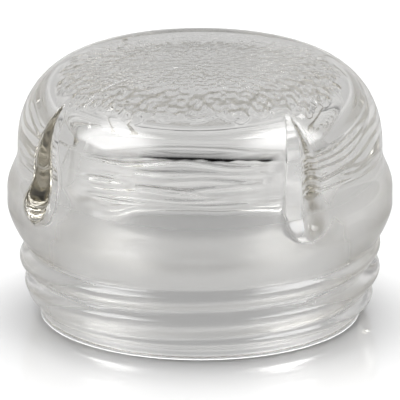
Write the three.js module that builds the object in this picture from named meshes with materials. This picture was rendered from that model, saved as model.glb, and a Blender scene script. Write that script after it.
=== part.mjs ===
import * as THREE from 'three';

// Screw-in glass cover of an oven lamp: one thick pressed moulding, open at the
// bottom, with a coarse right-hand screw thread below a finger flange and four
// finger notches in its side. Lengths are millimetres, +Z runs up the screw
// axis, and the origin is the centre of the flat rim that the cover stands on.
// Angles are degrees, counter-clockwise seen from above, starting at -Y.

// Crown and shoulder
const HEIGHT = 42.2;
const CROWN_RADIUS = 16.1;
const CROWN_RISE = 0.25;
const WAIST_RADIUS = 29.3;
const SHOULDER_FOOT = 28.1;
const SHOULDER_SQUARENESS = 2.14;

// Finger flange: flare above, rounded band, sloping underside below
const FLANGE_RADIUS = 31.0;
const FLARE_TOP = 27.2;
const BAND_TOP = 21.0;
const BAND_BOTTOM = 18.2;
const UNDERSIDE_FOOT = 11.3;
const UNDERSIDE_SQUARENESS = 1.33;

// Screw thread, a rounded bead with a narrow groove between its turns. It
// grows to its full height above its start near the rim.
const THREAD_PITCH = 4.55;
const THREAD_ROOT_RADIUS = 27.0;
const THREAD_START_CREST = 28.0;
const THREAD_FULL_CREST = 29.1;
const THREAD_START = 4.5;
const THREAD_FULL = 7.5;
const THREAD_TOP = 13.0;
const THREAD_ROUNDNESS = 0.8;
const THREAD_GROOVE_HEIGHT = 8.14;
const THREAD_FADE_START = 1.6;
const THREAD_FADE_END = 3.2;

// Finger notches: troughs with an egg-shaped floor and sides that flare out,
// shallow on the shoulder and deepest where they cut through the flange
const NOTCH_COUNT = 4;
const NOTCH_FIRST_ANGLE = 45;
const NOTCH_TOP = 38.8;
const NOTCH_WIDEST = 23.8;
const NOTCH_FOOT = 19.4;
const NOTCH_FLOOR_HALF_WIDTH = 2.0;
const NOTCH_FLARE = 0.78;
const NOTCH_WAIST_DEPTH = 2.3;
const NOTCH_DEPTH_TAPER = 1.25;
const NOTCH_SCOOP_TOP = 24.8;

// Rim, and the lamp cavity: a tapered wall under a low dome
const RIM_TOP = 1.4;
const RIM_BLEND_TOP = 3.2;
const RIM_RADIUS = 25.8;
const RIM_ROUNDING = 0.5;
const CAVITY_MOUTH_RADIUS = 23.6;
const DOME_FOOT_RADIUS = 22.4;
const DOME_FOOT = 31.6;
const DOME_SQUARENESS = 3.5;
const CEILING_HEIGHT = 37.6;

// Fineness of the faceted solid
const CROWN_STEPS = 3;
const SHOULDER_STEPS = 11;
const WAIST_STEPS = 1;
const FLARE_STEPS = 6;
const BAND_STEPS = 3;
const UNDERSIDE_STEPS = 4;
const THREAD_STEPS = 18;
const RIM_STEPS = 2;
const CAVITY_STEPS = 3;
const DOME_STEPS = 7;
const NOTCH_SHARES = [-1, -0.7, -0.4, 0, 0.4, 0.7, 1];
const NARROWEST_HALF_WIDTH = 1.0;
const LOBE_STEPS = 12;

const GLASS_COLOUR = 0xc6c5c0;

function lerp(start, end, share) {
  return start + (end - start) * share;
}

function unit(value) {
  return Math.min(Math.max(value, 0), 1);
}

function easeInOut(share) {
  return (1 - Math.cos(Math.PI * unit(share))) / 2;
}

// Quarter of a superellipse: 1 at share 0, falling to 0 at share 1.
function superQuarter(share, squareness) {
  return (1 - unit(share) ** squareness) ** (1 / squareness);
}

// How far the plain rim lies inside the thread's root.
function rimInset(height) {
  const share = easeInOut((RIM_BLEND_TOP - height) / (RIM_BLEND_TOP - RIM_TOP));
  return (THREAD_ROOT_RADIUS - RIM_RADIUS) * share;
}

// Radius of the round body at a height below the shoulder, before the thread
// and the notches.
function bodyRadius(height) {
  if (height < BAND_BOTTOM) {
    const share = (BAND_BOTTOM - height) / (BAND_BOTTOM - UNDERSIDE_FOOT);
    const bulge = superQuarter(share, UNDERSIDE_SQUARENESS);
    const underside = lerp(THREAD_ROOT_RADIUS, FLANGE_RADIUS, bulge);
    return underside - rimInset(height);
  }
  const flare = (FLARE_TOP - height) / (FLARE_TOP - BAND_TOP);
  return lerp(WAIST_RADIUS, FLANGE_RADIUS, easeInOut(flare));
}

// Radius of the right-hand thread bead at a height and angle.
function threadRadius(height, angle) {
  const turns = (height - THREAD_GROOVE_HEIGHT) / THREAD_PITCH - angle / 360;
  const bead = Math.abs(Math.sin(Math.PI * turns)) ** THREAD_ROUNDNESS;
  const growth = unit((height - THREAD_START) / (THREAD_FULL - THREAD_START));
  const crest = lerp(THREAD_START_CREST, THREAD_FULL_CREST, growth);
  const fade = easeInOut(
    (height - THREAD_FADE_START) / (THREAD_FADE_END - THREAD_FADE_START),
  );
  return (crest - THREAD_ROOT_RADIUS) * bead * fade + THREAD_ROOT_RADIUS;
}

// Half the width of a notch's floor at a height: an egg-shaped outline.
function notchFloorHalfWidth(height) {
  const end = height > NOTCH_WIDEST ? NOTCH_TOP : NOTCH_FOOT;
  const share = (height - NOTCH_WIDEST) / (end - NOTCH_WIDEST);
  return NOTCH_FLOOR_HALF_WIDTH * superQuarter(share, 2);
}

// How deep a notch is cut where the plain round body has this radius. It fades
// out up the shoulder, has an upright floor and ends in a scoop at its foot.
function notchDepth(radius, height) {
  if (height > SHOULDER_FOOT) {
    const share = (height - SHOULDER_FOOT) / (NOTCH_TOP - SHOULDER_FOOT);
    return NOTCH_WAIST_DEPTH * superQuarter(share, NOTCH_DEPTH_TAPER);
  }
  const scoop = superQuarter((NOTCH_SCOOP_TOP - height) / (NOTCH_SCOOP_TOP - NOTCH_FOOT), 2);
  return Math.max(radius - lerp(FLANGE_RADIUS, WAIST_RADIUS - NOTCH_WAIST_DEPTH, scoop), 0);
}

// Half the width of a notch, which flares out as it deepens.
function notchHalfWidth(radius, height) {
  const width = notchFloorHalfWidth(height) + NOTCH_FLARE * notchDepth(radius, height);
  return Math.max(width, NARROWEST_HALF_WIDTH);
}

// Radius of the outer skin, where `radius` is the plain round body's and
// `across` runs from 0 in the middle of a notch to 1 at its edge and beyond.
function outerRadius(radius, height, angle, across) {
  if (height < BAND_BOTTOM) {
    return Math.max(radius, threadRadius(height, angle) - rimInset(height));
  }
  const depth = notchDepth(radius, height);
  if (depth === 0) {
    return radius;
  }
  const floorShare = notchFloorHalfWidth(height) / notchHalfWidth(radius, height);
  const rise = unit((across - floorShare) / (1 - floorShare));
  return radius - depth * (1 - rise) ** 2;
}

// The skin's outline from the flat rim up to the crown's centre.
function skinOutline() {
  const outline = [];
  for (let i = 0; i <= CROWN_STEPS; i += 1) {
    const share = i / (CROWN_STEPS + 1);
    outline.push([CROWN_RADIUS * share, HEIGHT - CROWN_RISE * share ** 2]);
  }
  const shoulderRise = HEIGHT - CROWN_RISE - SHOULDER_FOOT;
  const power = 2 / SHOULDER_SQUARENESS;
  for (let i = 0; i <= SHOULDER_STEPS; i += 1) {
    const turn = (i / SHOULDER_STEPS) * (Math.PI / 2);
    const out = Math.sin(turn) ** power;
    const up = Math.abs(Math.cos(turn)) ** power;
    outline.push([lerp(CROWN_RADIUS, WAIST_RADIUS, out), SHOULDER_FOOT + shoulderRise * up]);
  }
  const stretches = [
    [SHOULDER_FOOT, FLARE_TOP, WAIST_STEPS],
    [FLARE_TOP, BAND_TOP, FLARE_STEPS],
    [BAND_TOP, BAND_BOTTOM, BAND_STEPS],
    [BAND_BOTTOM, THREAD_TOP, UNDERSIDE_STEPS],
    [THREAD_TOP, RIM_TOP, THREAD_STEPS],
    [RIM_TOP, RIM_ROUNDING, RIM_STEPS],
  ];
  for (const [from, to, steps] of stretches) {
    for (let i = 1; i <= steps; i += 1) {
      const height = lerp(from, to, i / steps);
      outline.push([bodyRadius(height), height]);
    }
  }
  outline.push([bodyRadius(RIM_ROUNDING) - RIM_ROUNDING / 3, RIM_ROUNDING / 4]);
  outline.push([RIM_RADIUS - RIM_ROUNDING, 0]);
  return outline.reverse();
}

// The cavity's outline from the ceiling's centre down to the flat rim.
function cavityOutline() {
  const outline = [[CAVITY_MOUTH_RADIUS + RIM_ROUNDING, 0]];
  for (let i = 0; i < CAVITY_STEPS; i += 1) {
    const share = i / CAVITY_STEPS;
    outline.push([
      lerp(CAVITY_MOUTH_RADIUS, DOME_FOOT_RADIUS, share),
      lerp(RIM_ROUNDING, DOME_FOOT, share),
    ]);
  }
  const power = 2 / DOME_SQUARENESS;
  for (let i = 0; i < DOME_STEPS; i += 1) {
    const turn = (i / DOME_STEPS) * (Math.PI / 2);
    const out = Math.cos(turn) ** power;
    const up = Math.sin(turn) ** power;
    outline.push([DOME_FOOT_RADIUS * out, lerp(DOME_FOOT, CEILING_HEIGHT, up)]);
  }
  outline.push([0, CEILING_HEIGHT]);
  return outline.reverse();
}

// The solid's meridians, over each notch and the lobe after it. `share` runs
// from -1 to 1 between a notch's edges, and `along` from 0 to 1 over the lobe.
function meridians() {
  const list = [];
  for (let notch = 0; notch < NOTCH_COUNT; notch += 1) {
    for (const share of NOTCH_SHARES) {
      list.push({ notch, share, along: 0 });
    }
    for (let i = 1; i < LOBE_STEPS; i += 1) {
      list.push({ notch, share: 1, along: i / LOBE_STEPS });
    }
  }
  return list;
}

// Angle of a meridian where the plain body has this radius and height. The
// meridians over a notch draw together where the notch narrows, so that its
// edges run along them.
function meridianAngle(meridian, radius, height) {
  const spacing = 360 / NOTCH_COUNT;
  const middle = NOTCH_FIRST_ANGLE + meridian.notch * spacing;
  const half = THREE.MathUtils.radToDeg(notchHalfWidth(radius, height) / WAIST_RADIUS);
  return middle + half * meridian.share + (spacing - 2 * half) * meridian.along;
}

// A lathe solid whose outer skin is moved in or out, meridian by meridian, to
// the thread's beads and the notches' troughs.
function glassCoverGeometry() {
  const cavity = cavityOutline();
  const outline = [...cavity, ...skinOutline()];
  const columns = meridians();
  const points = outline.map(([radius, height]) => new THREE.Vector2(radius, height));
  const geometry = new THREE.LatheGeometry(points, columns.length);
  const position = geometry.getAttribute('position');
  for (let column = 0; column <= columns.length; column += 1) {
    const meridian = columns[column % columns.length];
    for (let row = 0; row < outline.length; row += 1) {
      const [radius, height] = outline[row];
      const onSkin = row > cavity.length && row < outline.length - 1;
      const angle = onSkin ? meridianAngle(meridian, radius, height) : meridianAngle(meridian, 0, 0);
      const across = meridian.along > 0 ? 1 : Math.abs(meridian.share);
      const out = onSkin ? outerRadius(radius, height, angle, across) : radius;
      const turn = THREE.MathUtils.degToRad(angle);
      const index = column * outline.length + row;
      position.setXYZ(index, out * Math.sin(turn), height, out * Math.cos(turn));
    }
  }
  geometry.rotateX(Math.PI / 2);
  geometry.computeVertexNormals();
  return geometry;
}

function buildGlassCover() {
  const material = new THREE.MeshStandardMaterial({
    color: GLASS_COLOUR,
    roughness: 0.05,
    metalness: 0,
    transparent: true,
    opacity: 0.4,
  });
  const mesh = new THREE.Mesh(glassCoverGeometry(), material);
  mesh.name = 'glass_cover';
  return mesh;
}

const ovenLampCover = new THREE.Group();
ovenLampCover.add(buildGlassCover());

export default ovenLampCover;
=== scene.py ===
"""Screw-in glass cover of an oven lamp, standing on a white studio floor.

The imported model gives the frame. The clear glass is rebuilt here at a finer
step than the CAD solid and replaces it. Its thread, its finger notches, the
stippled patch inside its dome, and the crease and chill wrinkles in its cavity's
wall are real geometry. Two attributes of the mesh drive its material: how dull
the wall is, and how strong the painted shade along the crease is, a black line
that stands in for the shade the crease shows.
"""
import math

import bpy
import numpy as np
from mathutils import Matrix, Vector


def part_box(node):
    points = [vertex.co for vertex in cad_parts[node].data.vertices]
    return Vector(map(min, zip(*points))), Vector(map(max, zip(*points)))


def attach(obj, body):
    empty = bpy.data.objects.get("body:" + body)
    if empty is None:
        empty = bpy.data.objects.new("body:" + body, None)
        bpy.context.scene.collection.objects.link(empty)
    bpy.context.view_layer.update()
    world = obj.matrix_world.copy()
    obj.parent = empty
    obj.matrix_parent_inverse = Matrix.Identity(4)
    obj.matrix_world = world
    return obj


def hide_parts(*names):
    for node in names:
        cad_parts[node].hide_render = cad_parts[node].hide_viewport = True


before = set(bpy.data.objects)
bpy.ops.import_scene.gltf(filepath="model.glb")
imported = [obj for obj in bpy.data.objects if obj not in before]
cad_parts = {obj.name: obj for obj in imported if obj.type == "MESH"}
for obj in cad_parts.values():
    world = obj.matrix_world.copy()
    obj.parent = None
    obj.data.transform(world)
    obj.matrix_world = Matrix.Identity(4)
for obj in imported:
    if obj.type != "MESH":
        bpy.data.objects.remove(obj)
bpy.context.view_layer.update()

GLASS_NODE = "glass_cover"
MM = 0.001

# Driving dimensions of the moulding, in millimetres. Heights are measured up
# from the rim. The height and the flange's width come from the frame.
LOW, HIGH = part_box(GLASS_NODE)
HEIGHT = (HIGH[2] - LOW[2]) / MM
FLANGE_RADIUS = (HIGH[0] - LOW[0]) / 2 / MM

CROWN_RADIUS = 16.1
CROWN_RISE = 0.25
WAIST_RADIUS = 29.3
SHOULDER_FOOT = 28.1
SHOULDER_SQUARENESS = 2.14

FLARE_TOP = 27.2
BAND_TOP = 21.0
BAND_BOTTOM = 18.2
UNDERSIDE_FOOT = 11.3
UNDERSIDE_SQUARENESS = 1.33

THREAD_PITCH = 4.55
THREAD_ROOT_RADIUS = 27.0
THREAD_START_CREST = 28.0
THREAD_FULL_CREST = 29.1
THREAD_START = 4.5
THREAD_FULL = 7.5
THREAD_ROUNDNESS = 0.8
THREAD_GROOVE_HEIGHT = 8.14
THREAD_FADE_START = 1.6
THREAD_FADE_END = 3.2

NOTCH_COUNT = 4
NOTCH_FIRST_ANGLE = 45.0
NOTCH_TOP = 38.8
NOTCH_WIDEST = 23.8
NOTCH_FOOT = 19.4
NOTCH_FLOOR_HALF_WIDTH = 2.0
NOTCH_FLARE = 0.78
NOTCH_WAIST_DEPTH = 2.3
NOTCH_DEPTH_TAPER = 1.25
NOTCH_SCOOP_TOP = 24.8
NOTCH_CORNER = 0.12

RIM_TOP = 1.4
RIM_BLEND_TOP = 3.2
RIM_RADIUS = 25.8
RIM_ROUNDING = 0.5
CAVITY_MOUTH_RADIUS = 23.6
DOME_FOOT_RADIUS = 22.4
DOME_FOOT = 31.6
DOME_SQUARENESS = 3.5
CEILING_HEIGHT = 37.6

# Crease round the foot of the cavity's dome, highest near the middle of each
# lobe and dipping towards the notches
CREASE_DEPTH = 0.09
CREASE_REACH = 0.45
CREASE_DIP = 1.2
CREASE_DIP_REACH = 5.5
CREASE_PEAK_ANGLE = 7.0
CREASE_LIFT = 0.55

# Painted shade along the crease, standing in for the shade the crease shows:
# black along the middle of each lobe, faint towards the notches, and of uneven
# width. Its wavers are (size, waves, phase).
SHADE_PEAK_ANGLE = 15.0
SHADE_GAIN = 2.5
SHADE_OFFSET = 1.3
SHADE_FAINTEST = 0.5
SHADE_LOBE_GAIN = 3
SHADE_LOBE_OFFSET = 0.8
SHADE_REACH = 0.6
SHADE_WIDTH = 0.75
SHADE_WIDTH_SWING = 0.35
SHADE_WIDTH_PHASE = 0.7
SHADE_WAVERS = [(0.12, 5, 0), (0.08, 13, 1)]

# Chill wrinkles in the wall below the crease, calmer near the notches. Each
# wanders up and down and varies in strength round the cavity.
WRINKLE_DEPTH = 0.24
WRINKLE_WIDTH = 0.5
WRINKLE_ZONE = 7.5
WRINKLE_COUNT = 7
WRINKLE_CALM = 1.2
WRINKLE_WAVES = (2, 5, 9)
WRINKLE_SWAY = (0.1, 0.3)
WRINKLE_FLICKER = (0.2, 0.4)
WRINKLE_PHASES = 6.3
WRINKLE_SEED = 3

# Stippled patch on the ceiling of the cavity: rounded bumps inside a slightly
# oval, ragged outline. Bump heights and widths are shares.
STIPPLE_RADIUS = 20.2
STIPPLE_STRETCH = 0.7
STIPPLE_BEARING = 12.0
STIPPLE_RAGGEDNESS = 0.7
STIPPLE_SPACING = 0.75
STIPPLE_DEPTH = 0.3
STIPPLE_EDGE_DEPTH = 0.4
STIPPLE_EDGE_START = 14.0
STIPPLE_EDGE_WAVES = (3, 5, 9, 14, 23)
STIPPLE_EDGE_SWING = (0.3, 1.0)
STIPPLE_EDGE_FADE = 0.5
STIPPLE_HEIGHTS = (0.35, 1.0)
STIPPLE_WIDTHS = (0.42, 0.75)
STIPPLE_SEED = 7

# Finish: polished outside, dull on the wall below the wrinkles, painted shade
# along the crease, and a faint warm tint in the glass
WALL_ROUGHNESS = 0.3
ROUGHNESS_BLEND = 2
# Colour of the painted shade along the crease
CREASE_PAINTED_SHADE_COLOUR = (0.0, 0.0, 0.0, 1.0)
GLASS_IOR = 1.48
GLASS_TINT = (0.765, 0.745, 0.69, 1.0)
GLASS_TINT_DENSITY = 25.0

# Fineness of the rebuilt surface
NOTCH_COLUMNS = 24
LOBE_COLUMNS = 66
NARROWEST_HALF_WIDTH = 1.0
WIDEST_FLOOR_SHARE = 0.9
CROWN_STEPS = 12
SHOULDER_STEPS = 36
SIDE_STEP = 0.3
RIM_STEPS = 4
CAVITY_STEP = 4.0
WRINKLE_STEP = 0.25
FINE_ZONE = 1.0
FINE_STEP = 0.1
DOME_STEPS = 14
DOME_STEEP_TURN = 34
CEILING_STEP = 0.36


def lerp(start, end, share):
    return start + (end - start) * share


def ease(share):
    """Half a cosine wave from 0 at share 0 to 1 at share 1."""
    return (1 - np.cos(np.pi * np.clip(share, 0, 1))) / 2


def super_quarter(share, squareness):
    """Quarter of a superellipse: 1 at share 0, falling to 0 at share 1."""
    return (1 - np.clip(share, 0, 1) ** squareness) ** (1 / squareness)


def rim_inset(height):
    """How far the plain rim lies inside the thread's root."""
    share = ease((RIM_BLEND_TOP - height) / (RIM_BLEND_TOP - RIM_TOP))
    return (THREAD_ROOT_RADIUS - RIM_RADIUS) * share


def body_radius(height):
    """Radius of the round body below the shoulder, without thread or notches."""
    if height < BAND_BOTTOM:
        share = (BAND_BOTTOM - height) / (BAND_BOTTOM - UNDERSIDE_FOOT)
        bulge = super_quarter(share, UNDERSIDE_SQUARENESS)
        return lerp(THREAD_ROOT_RADIUS, FLANGE_RADIUS, bulge) - rim_inset(height)
    flare = (FLARE_TOP - height) / (FLARE_TOP - BAND_TOP)
    return lerp(WAIST_RADIUS, FLANGE_RADIUS, ease(flare))


def thread_radius(height, angle):
    """Radius of the right-hand thread bead, growing from its start by the rim."""
    turns = (height - THREAD_GROOVE_HEIGHT) / THREAD_PITCH - angle / 360
    bead = np.abs(np.sin(np.pi * turns)) ** THREAD_ROUNDNESS
    growth = np.clip((height - THREAD_START) / (THREAD_FULL - THREAD_START), 0, 1)
    crest = lerp(THREAD_START_CREST, THREAD_FULL_CREST, growth)
    fade = ease((height - THREAD_FADE_START) / (THREAD_FADE_END - THREAD_FADE_START))
    return (crest - THREAD_ROOT_RADIUS) * bead * fade + THREAD_ROOT_RADIUS


def notch_floor_half_width(height):
    """Half the width of a notch's floor, which has an egg-shaped outline."""
    end = NOTCH_TOP if height > NOTCH_WIDEST else NOTCH_FOOT
    share = (height - NOTCH_WIDEST) / (end - NOTCH_WIDEST)
    return NOTCH_FLOOR_HALF_WIDTH * super_quarter(share, 2)


def notch_depth(radius, height):
    """How deep a notch is cut where the plain body has this radius.

    It fades out up the shoulder, has an upright floor and ends in a scoop.
    """
    if height > SHOULDER_FOOT:
        share = (height - SHOULDER_FOOT) / (NOTCH_TOP - SHOULDER_FOOT)
        return NOTCH_WAIST_DEPTH * super_quarter(share, NOTCH_DEPTH_TAPER)
    scoop = (NOTCH_SCOOP_TOP - height) / (NOTCH_SCOOP_TOP - NOTCH_FOOT)
    floor = lerp(FLANGE_RADIUS, WAIST_RADIUS - NOTCH_WAIST_DEPTH, super_quarter(scoop, 2))
    return max(radius - floor, 0)


def notch_half_width(radius, height):
    """Half the width of a notch where the plain body has this radius."""
    width = notch_floor_half_width(height) + NOTCH_FLARE * notch_depth(radius, height)
    return max(width, NARROWEST_HALF_WIDTH)


def notch_profile(across, floor_share):
    """Share of a notch's depth: whole over its floor, easing to 0 at its edge."""
    rise = (across - floor_share) / (1 - floor_share)
    corner = np.clip(rise + NOTCH_CORNER, 0, 2 * NOTCH_CORNER) ** 2 / (4 * NOTCH_CORNER)
    return (1 - np.clip(corner + np.maximum(rise - NOTCH_CORNER, 0), 0, 1)) ** 2


def skin_radii(radius, height, angles, across):
    """Radii of the outer skin round one row, where radius is the plain body's.

    Each column's place across its notch is 0 in the middle and 1 at the edge.
    """
    plain = np.full_like(angles, radius)
    if height < BAND_BOTTOM:
        return np.maximum(plain, thread_radius(height, angles) - rim_inset(height))
    if not NOTCH_FOOT < height < NOTCH_TOP:
        return plain
    floor_share = notch_floor_half_width(height) / notch_half_width(radius, height)
    profile = notch_profile(across, min(floor_share, WIDEST_FLOOR_SHARE))
    return plain - notch_depth(radius, height) * profile


def columns():
    """Each meridian's notch, place across it and place along the lobe after it."""
    across = np.linspace(-1, 1, NOTCH_COLUMNS)
    along = np.arange(1, LOBE_COLUMNS + 1) / (LOBE_COLUMNS + 1)
    places = [(a, 0.0) for a in across] + [(1.0, b) for b in along]
    table = [(n, a, b) for n in range(NOTCH_COUNT) for a, b in places]
    return np.array(table).T


def meridian_angles(radius, height, notch, across, along):
    """Angles of the meridians, which draw together where a notch narrows."""
    spacing = 360 / NOTCH_COUNT
    half = math.degrees(notch_half_width(radius, height) / WAIST_RADIUS)
    middle = NOTCH_FIRST_ANGLE + notch * spacing
    return middle + half * across + (spacing - 2 * half) * along


def skin_outline():
    """(radius, height) of the skin's rows, from beside the crown's centre down."""
    rows = []
    for i in range(1, CROWN_STEPS):
        share = i / CROWN_STEPS
        rows.append((CROWN_RADIUS * share, HEIGHT - CROWN_RISE * share**2))
    rise = HEIGHT - CROWN_RISE - SHOULDER_FOOT
    power = 2 / SHOULDER_SQUARENESS
    for i in range(SHOULDER_STEPS + 1):
        turn = i / SHOULDER_STEPS * math.pi / 2
        out = math.sin(turn) ** power
        up = abs(math.cos(turn)) ** power
        rows.append((lerp(CROWN_RADIUS, WAIST_RADIUS, out), SHOULDER_FOOT + rise * up))
    steps = round((SHOULDER_FOOT - RIM_ROUNDING) / SIDE_STEP)
    for i in range(1, steps + 1):
        height = lerp(SHOULDER_FOOT, RIM_ROUNDING, i / steps)
        rows.append((float(body_radius(height)), height))
    edge = float(body_radius(RIM_ROUNDING)) - RIM_ROUNDING
    for i in range(1, RIM_STEPS + 1):
        turn = i / RIM_STEPS * math.pi / 2
        out = RIM_ROUNDING * math.cos(turn)
        rows.append((edge + out, RIM_ROUNDING * (1 - math.sin(turn))))
    return rows


def cavity_outline():
    """(radius, height) of the cavity's rows, from the rim to the ceiling."""
    rows = []
    for i in range(RIM_STEPS + 1):
        turn = (1 - i / RIM_STEPS) * math.pi / 2
        out = RIM_ROUNDING * (1 - math.cos(turn))
        rows.append((CAVITY_MOUTH_RADIUS + out, RIM_ROUNDING * (1 - math.sin(turn))))
    stretches = [
        (RIM_ROUNDING, DOME_FOOT - WRINKLE_ZONE, CAVITY_STEP),
        (DOME_FOOT - WRINKLE_ZONE, DOME_FOOT - FINE_ZONE, WRINKLE_STEP),
        (DOME_FOOT - FINE_ZONE, DOME_FOOT, FINE_STEP),
    ]
    for low, high, step in stretches:
        steps = math.ceil((high - low) / step)
        for i in range(1, steps + 1):
            height = lerp(low, high, i / steps)
            share = (height - RIM_ROUNDING) / (DOME_FOOT - RIM_ROUNDING)
            rows.append((lerp(CAVITY_MOUTH_RADIUS, DOME_FOOT_RADIUS, share), height))
    power = 2 / DOME_SQUARENESS
    for i in range(1, DOME_STEPS + 1):
        turn = math.radians(DOME_STEEP_TURN) * i / DOME_STEPS
        radius = DOME_FOOT_RADIUS * math.cos(turn) ** power
        rows.append((radius, lerp(DOME_FOOT, CEILING_HEIGHT, math.sin(turn) ** power)))
    steps = round(radius / CEILING_STEP)
    for i in range(1, steps):
        inner = lerp(radius, 0, i / steps)
        rise = super_quarter(inner / DOME_FOOT_RADIUS, DOME_SQUARENESS)
        rows.append((inner, lerp(DOME_FOOT, CEILING_HEIGHT, rise)))
    return rows


def crease_dip(angles, height):
    """How far the crease and its surroundings dip towards the notches."""
    around = np.radians(NOTCH_COUNT * (angles - CREASE_PEAK_ANGLE))
    nearness = ease(1 - abs(height - DOME_FOOT) / CREASE_DIP_REACH)
    return nearness * (CREASE_DIP * (1 - np.cos(around)) / 2 - CREASE_LIFT)


def crease_shade(angles, height):
    """How strong the painted shade along the crease is, from 0 to 1: thickest between
    notches.
    """
    turns = np.radians(NOTCH_COUNT * (angles - SHADE_PEAK_ANGLE))
    lobe = np.cos(np.radians(NOTCH_COUNT * angles))
    faint = SHADE_FAINTEST * np.clip(SHADE_LOBE_GAIN * (lobe + SHADE_LOBE_OFFSET), 0, 1)
    along = np.clip(SHADE_GAIN * np.cos(turns) + SHADE_OFFSET, faint, 1)
    waver = sum(size * np.sin(waves * turns + phase) for size, waves, phase in SHADE_WAVERS)
    swing = SHADE_WIDTH_SWING * np.cos(2 * turns + SHADE_WIDTH_PHASE)
    width = SHADE_REACH * (SHADE_WIDTH + swing + waver)
    across = np.clip((height - DOME_FOOT) / width + waver, -1, 1)
    return along * np.clip(1 + np.cos(np.pi * across), 0, 1)


def ridge(height, middle, reach):
    """Cross-section of a soft ridge: 1 at its middle, 0 beyond its reach."""
    across = np.clip((height - middle) / reach, -1, 1)
    return (1 + np.cos(np.pi * across)) / 2


def wrinkle_depth(angles, height):
    """How far the crease and the chill wrinkles stand out of the cavity's wall."""
    rng = np.random.default_rng(WRINKLE_SEED)
    turns = np.radians(angles)

    def wander(waves, sizes):
        return rng.uniform(*sizes) * np.sin(waves * turns + rng.uniform(0, WRINKLE_PHASES))

    depth = CREASE_DEPTH * ridge(height, DOME_FOOT, CREASE_REACH) * np.ones_like(turns)
    calm = ease(WRINKLE_CALM + WRINKLE_CALM * np.cos(NOTCH_COUNT * turns))
    for i in range(WRINKLE_COUNT):
        middle = DOME_FOOT - (i + 1) * WRINKLE_ZONE / (WRINKLE_COUNT + 1)
        strength = 1
        for waves in WRINKLE_WAVES:
            middle = middle + wander(waves, WRINKLE_SWAY)
            strength = strength + wander(waves, WRINKLE_FLICKER)
        depth += WRINKLE_DEPTH * strength * calm * ridge(height, middle, WRINKLE_WIDTH)
    return depth


def stipple_lift(x, y):
    """How far the hammered texture lifts the ceiling's surface at points x, y."""
    rng = np.random.default_rng(STIPPLE_SEED)
    reach = STIPPLE_RADIUS + 2 * STIPPLE_SPACING
    grid = np.arange(-reach, reach, STIPPLE_SPACING)
    seeds = np.stack(np.meshgrid(grid, grid), axis=-1).reshape(-1, 2)
    seeds = seeds + rng.uniform(-0.5, 0.5, seeds.shape) * STIPPLE_SPACING
    heights = rng.uniform(*STIPPLE_HEIGHTS, len(seeds))
    widths = rng.uniform(*STIPPLE_WIDTHS, len(seeds)) * STIPPLE_SPACING
    lift = np.zeros_like(x)
    for (seed_x, seed_y), height, width in zip(seeds, heights, widths):
        away = ((x - seed_x) ** 2 + (y - seed_y) ** 2) / width**2
        lift = np.maximum(lift, height * np.exp(-(away**2)))
    bearing = np.arctan2(y, x)
    oval = np.cos(2 * (bearing - math.radians(STIPPLE_BEARING)))
    edge = STIPPLE_RADIUS + STIPPLE_STRETCH * oval
    for waves in STIPPLE_EDGE_WAVES:
        swing = rng.uniform(*STIPPLE_EDGE_SWING) * STIPPLE_RAGGEDNESS / 2
        edge = edge + swing * np.sin(waves * bearing + rng.uniform(0, 2 * math.pi))
    away = np.hypot(x, y)
    inside = np.clip((edge - away) / STIPPLE_EDGE_FADE, 0, 1)
    outward = ease((away - STIPPLE_EDGE_START) / (STIPPLE_RADIUS - STIPPLE_EDGE_START))
    return (STIPPLE_DEPTH + STIPPLE_EDGE_DEPTH * outward) * lift * inside


def inside_roughness(height):
    """Dull on the cavity's lower wall, and polished from the wrinkles up."""
    clear = DOME_FOOT - WRINKLE_ZONE
    return WALL_ROUGHNESS * ease((clear - height) / ROUGHNESS_BLEND)


def glass_rings():
    """The rings of points, as (radii, angles, heights), and the finish of each.

    They run from beside the crown's centre down the skin, round the rim and up
    the cavity to beside its ceiling's centre. A finish is (roughness, shade), where
    shade is the painted shade along the crease.
    """
    notch, across, along = columns()
    level = np.zeros(len(notch))
    rings = []
    finishes_and_painted_shade = []
    for radius, height in skin_outline():
        angles = meridian_angles(radius, height, notch, across, along)
        radii = skin_radii(radius, height, angles, np.abs(across))
        rings.append((radii, np.radians(angles), level + height))
        finishes_and_painted_shade.append((level, level))
    angles = meridian_angles(0, 0, notch, across, along)
    turns = np.radians(angles)
    for radius, height in cavity_outline():
        radii = radius - wrinkle_depth(angles, height)
        heights = height - crease_dip(angles, height)
        if height > DOME_FOOT:
            heights += stipple_lift(radius * np.sin(turns), -radius * np.cos(turns))
        rings.append((radii, turns, heights))
        # Painted shade along the crease; the wall is left polished under it
        shade = crease_shade(angles, height)
        finishes_and_painted_shade.append((inside_roughness(height) * (1 - shade), shade))
    return rings, finishes_and_painted_shade


def ring_faces(count, rings):
    """Faces between rings of points that have one more point at either end."""
    end = 1 + rings * count
    faces = []
    for i in range(count):
        j = (i + 1) % count
        faces.append((0, 1 + i, 1 + j))
        for a in range(1, end - count, count):
            b = a + count
            faces.append((a + i, b + i, b + j, a + j))
        faces.append((end - count + i, end, end - count + j))
    return faces


def glass_mesh():
    """The whole moulding as one closed mesh, in metres."""
    rings, finishes_and_painted_shade = glass_rings()
    points = [(0, 0, HEIGHT)]
    for radii, angles, heights in rings:
        points.extend(zip(radii * np.sin(angles), -radii * np.cos(angles), heights))
    points.append((0, 0, CEILING_HEIGHT))
    mesh = bpy.data.meshes.new("moulded_glass")
    corners = [tuple(MM * c for c in point) for point in points]
    mesh.from_pydata(corners, [], ring_faces(len(rings[0][0]), len(rings)))
    mesh.update()
    mesh.shade_smooth()
    # The crease attribute holds the painted shade along the crease
    for name, rows in zip(("roughness", "crease"), zip(*finishes_and_painted_shade)):
        values = np.concatenate([[0], *rows, rows[-1][-1:]])
        attribute = mesh.attributes.new(name, "FLOAT", "POINT")
        attribute.data.foreach_set("value", values)
    return mesh


# A Mix node's colour sockets share their names with its number sockets, so they
# go by their places.
MIX_FACTOR = 0
MIX_COLOUR_A = 6
MIX_COLOUR_B = 7
MIX_COLOUR_RESULT = 2


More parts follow.
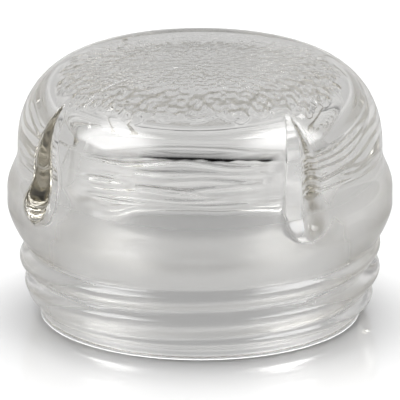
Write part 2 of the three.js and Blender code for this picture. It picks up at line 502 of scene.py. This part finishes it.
def glass_material():
    """Clear, faintly tinted pressed glass: one mesh attribute sets its roughness, the other
    paints shade along the crease.
    """
    material = bpy.data.materials.new("pressed_glass")
    material.use_nodes = True
    nodes = material.node_tree.nodes
    links = material.node_tree.links
    surface = nodes["Principled BSDF"]
    # Base colour blackened along the crease by the crease attribute: painted shade
    dark = nodes.new("ShaderNodeMix")
    dark.data_type = "RGBA"
    dark.inputs[MIX_COLOUR_A].default_value = (1.0, 1.0, 1.0, 1.0)
    dark.inputs[MIX_COLOUR_B].default_value = CREASE_PAINTED_SHADE_COLOUR
    sockets = {"roughness": surface.inputs["Roughness"], "crease": dark.inputs[MIX_FACTOR]}
    for name, socket in sockets.items():
        finish_and_shade_reader = nodes.new("ShaderNodeAttribute")
        finish_and_shade_reader.attribute_name = name
        links.new(finish_and_shade_reader.outputs["Fac"], socket)
    links.new(dark.outputs[MIX_COLOUR_RESULT], surface.inputs["Base Color"])
    surface.inputs["IOR"].default_value = GLASS_IOR
    surface.inputs["Transmission Weight"].default_value = 1.0
    tint = nodes.new("ShaderNodeVolumeAbsorption")
    tint.inputs["Color"].default_value = GLASS_TINT
    tint.inputs["Density"].default_value = GLASS_TINT_DENSITY
    links.new(tint.outputs["Volume"], nodes["Material Output"].inputs["Volume"])
    return material


def make_glass():
    glass = bpy.data.objects.new("moulded_glass", glass_mesh())
    bpy.context.scene.collection.objects.link(glass)
    glass.data.materials.append(glass_material())
    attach(glass, "root")
    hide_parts(GLASS_NODE)


# Camera at the photograph's viewing angle
CAMERA_AZIMUTH = 11.8
CAMERA_ELEVATION = 17.6
CAMERA_DISTANCE = 1.0
CLIP_START = 0.05
CLIP_END = 20
SENSOR_WIDTH = 36.0
FRAME_WIDTH = 64.4 * MM
AIM_HEIGHT = 18.35 * MM


def direction(azimuth, elevation):
    """Unit vector from the object towards an azimuth and elevation in degrees."""
    a, e = math.radians(azimuth), math.radians(elevation)
    return Vector((math.sin(a) * math.cos(e), -math.cos(a) * math.cos(e), math.sin(e)))


def make_camera():
    data = bpy.data.cameras.new("camera")
    data.sensor_width = SENSOR_WIDTH
    data.lens = SENSOR_WIDTH * CAMERA_DISTANCE / FRAME_WIDTH
    data.clip_start = CLIP_START
    data.clip_end = CLIP_END
    camera = bpy.data.objects.new("camera", data)
    aim = Vector((0, 0, AIM_HEIGHT))
    toward = direction(CAMERA_AZIMUTH, CAMERA_ELEVATION)
    camera.location = aim + toward * CAMERA_DISTANCE
    camera.rotation_euler = toward.to_track_quat("Z", "Y").to_euler()
    bpy.context.scene.collection.objects.link(camera)
    bpy.context.scene.camera = camera


# Two overhead panels with a gap between them, seen as bright patches on the
# shoulder. Sides and depths are in the camera's directions, in panel heights.
PANEL_HEIGHT = 0.6
PANEL_NEAR_SIDE = 0.42
PANEL_FAR_SIDE = 2.6
PANEL_BACK = -0.1
PANEL_FRONT = 1.22
PANEL_RADIANCE = 9.0
PANEL_SOFT_EDGE = 0.25

# A light for the floor alone, above and a little behind the object
FILL_SIZE = 2.0
FILL_HEIGHT = 1.2
FILL_BACK = 0.45
FILL_RADIANCE = 2.8

# Floor. What the glass shows of it is dimmer than what the camera sees of it,
# and glows evenly, so that the clear glass stays a middle grey.
FLOOR_HALF_SIZE = 3.0
FLOOR_ROUGHNESS = 0.04
FLOOR_IOR = 2.0
FLOOR_WHITE = 0.85
FLOOR_WHITE_THROUGH_GLASS = 0.12
FLOOR_GLOW_THROUGH_GLASS = 0.34

# Light tent: white to the camera, grey to the glass, and darker in a round
# patch on the camera's side. The patch's sizes are angles from its middle.
BACKGROUND_RADIANCE = 1.0
ROOM_RADIANCE = 0.62
ROOM_FRONT_RADIANCE = 0.03
DARK_ELEVATION = 30
DARK_REACH = 50
DARK_CORE = DARK_REACH / 3

# Times that light may pass a surface of the glass
GLASS_BOUNCES = 32


def mix_camera_ray(tree, seen, otherwise, socket):
    """Give the socket one grey for what the camera sees directly, or another."""
    ray = tree.nodes.new("ShaderNodeLightPath")
    mix = tree.nodes.new("ShaderNodeMix")
    tree.links.new(ray.outputs["Is Camera Ray"], mix.inputs["Factor"])
    mix.inputs["A"].default_value = otherwise
    mix.inputs["B"].default_value = seen
    tree.links.new(mix.outputs["Result"], socket)
    return mix


def make_floor():
    """A plain white, glossy floor."""
    half = FLOOR_HALF_SIZE
    mesh = bpy.data.meshes.new("floor")
    corners = [(-half, -half, 0), (half, -half, 0), (half, half, 0), (-half, half, 0)]
    mesh.from_pydata(corners, [], [(0, 1, 2, 3)])
    floor = bpy.data.objects.new("floor", mesh)
    bpy.context.scene.collection.objects.link(floor)
    material = bpy.data.materials.new("white_acrylic")
    material.use_nodes = True
    surface = material.node_tree.nodes["Principled BSDF"]
    surface.inputs["Emission Color"].default_value = (1, 1, 1, 1)
    tree = material.node_tree
    mix_camera_ray(tree, FLOOR_WHITE, FLOOR_WHITE_THROUGH_GLASS, surface.inputs["Base Color"])
    mix_camera_ray(tree, 0.0, FLOOR_GLOW_THROUGH_GLASS, surface.inputs["Emission Strength"])
    surface.inputs["Roughness"].default_value = FLOOR_ROUGHNESS
    surface.inputs["IOR"].default_value = FLOOR_IOR
    mesh.materials.append(material)


def soften_edges(light):
    """Let an area light fade out towards its four edges."""
    light.use_nodes = True
    nodes = light.node_tree.nodes
    links = light.node_tree.links
    place = nodes.new("ShaderNodeNewGeometry")
    split = nodes.new("ShaderNodeSeparateXYZ")
    links.new(place.outputs["Parametric"], split.inputs["Vector"])
    strength = nodes.new("ShaderNodeMath")
    strength.operation = "MULTIPLY"
    for i, axis in enumerate("XY"):
        fold = nodes.new("ShaderNodeMath")
        fold.operation = "PINGPONG"
        fold.inputs[1].default_value = 0.5
        links.new(split.outputs[axis], fold.inputs[0])
        fade = nodes.new("ShaderNodeMapRange")
        fade.interpolation_type = "SMOOTHSTEP"
        fade.inputs["From Max"].default_value = PANEL_SOFT_EDGE
        links.new(fold.outputs["Value"], fade.inputs["Value"])
        links.new(fade.outputs["Result"], strength.inputs[i])
    links.new(strength.outputs["Value"], nodes["Emission"].inputs["Strength"])


def make_panel(name, side):
    """One overhead light panel, to the left (-1) or the right (1) of the view."""
    width = (PANEL_FAR_SIDE - PANEL_NEAR_SIDE) * PANEL_HEIGHT
    depth = (PANEL_FRONT - PANEL_BACK) * PANEL_HEIGHT
    data = bpy.data.lights.new(name, "AREA")
    data.shape = "RECTANGLE"
    data.size = width
    data.size_y = depth
    data.energy = PANEL_RADIANCE * math.pi * width * depth
    soften_edges(data)
    light = bpy.data.objects.new(name, data)
    turn = math.radians(CAMERA_AZIMUTH)
    across = side * (PANEL_NEAR_SIDE + PANEL_FAR_SIDE) / 2 * PANEL_HEIGHT
    forward = -(PANEL_FRONT + PANEL_BACK) / 2 * PANEL_HEIGHT
    right = Vector((math.cos(turn), math.sin(turn), 0))
    away = Vector((-math.sin(turn), math.cos(turn), 0))
    light.location = right * across + away * forward + Vector((0, 0, PANEL_HEIGHT))
    light.rotation_euler = (0, 0, turn)
    light.visible_diffuse = False
    bpy.context.scene.collection.objects.link(light)


def make_floor_fill():
    """A wide ceiling light that only the floor sees, for soft contact shadows."""
    data = bpy.data.lights.new("floor_fill", "AREA")
    data.size = FILL_SIZE
    data.energy = FILL_RADIANCE * math.pi * FILL_SIZE**2
    light = bpy.data.objects.new("floor_fill", data)
    turn = math.radians(CAMERA_AZIMUTH)
    light.location = (-FILL_BACK * math.sin(turn), FILL_BACK * math.cos(turn), FILL_HEIGHT)
    light.visible_glossy = False
    light.visible_transmission = False
    bpy.context.scene.collection.objects.link(light)


def make_world():
    """An even light tent, darker on the photographer's side."""
    world = bpy.data.worlds.new("light_tent")
    world.use_nodes = True
    nodes = world.node_tree.nodes
    links = world.node_tree.links
    place = nodes.new("ShaderNodeTexCoord")
    facing = nodes.new("ShaderNodeVectorMath")
    facing.operation = "DOT_PRODUCT"
    facing.inputs[1].default_value = direction(CAMERA_AZIMUTH, DARK_ELEVATION)
    links.new(place.outputs["Generated"], facing.inputs[0])
    fade = nodes.new("ShaderNodeMapRange")
    fade.interpolation_type = "SMOOTHSTEP"
    fade.inputs["From Min"].default_value = math.cos(math.radians(DARK_REACH))
    fade.inputs["From Max"].default_value = math.cos(math.radians(DARK_CORE))
    fade.inputs["To Min"].default_value = ROOM_RADIANCE
    fade.inputs["To Max"].default_value = ROOM_FRONT_RADIANCE
    links.new(facing.outputs["Value"], fade.inputs["Value"])
    background = nodes["Background"]
    strength = background.inputs["Strength"]
    mix = mix_camera_ray(world.node_tree, BACKGROUND_RADIANCE, ROOM_RADIANCE, strength)
    links.new(fade.outputs["Result"], mix.inputs["A"])
    background.inputs["Color"].default_value = (1, 1, 1, 1)
    bpy.context.scene.world = world


def make_studio():
    make_panel("panel_left", -1)
    make_panel("panel_right", 1)
    make_floor_fill()
    make_world()
    make_floor()
    scene = bpy.context.scene
    scene.view_settings.view_transform = "Standard"
    scene.cycles.max_bounces = GLASS_BOUNCES
    scene.cycles.transmission_bounces = GLASS_BOUNCES
    scene.cycles.glossy_bounces = GLASS_BOUNCES
    scene.cycles.caustics_refractive = False


make_camera()
make_glass()
make_studio()
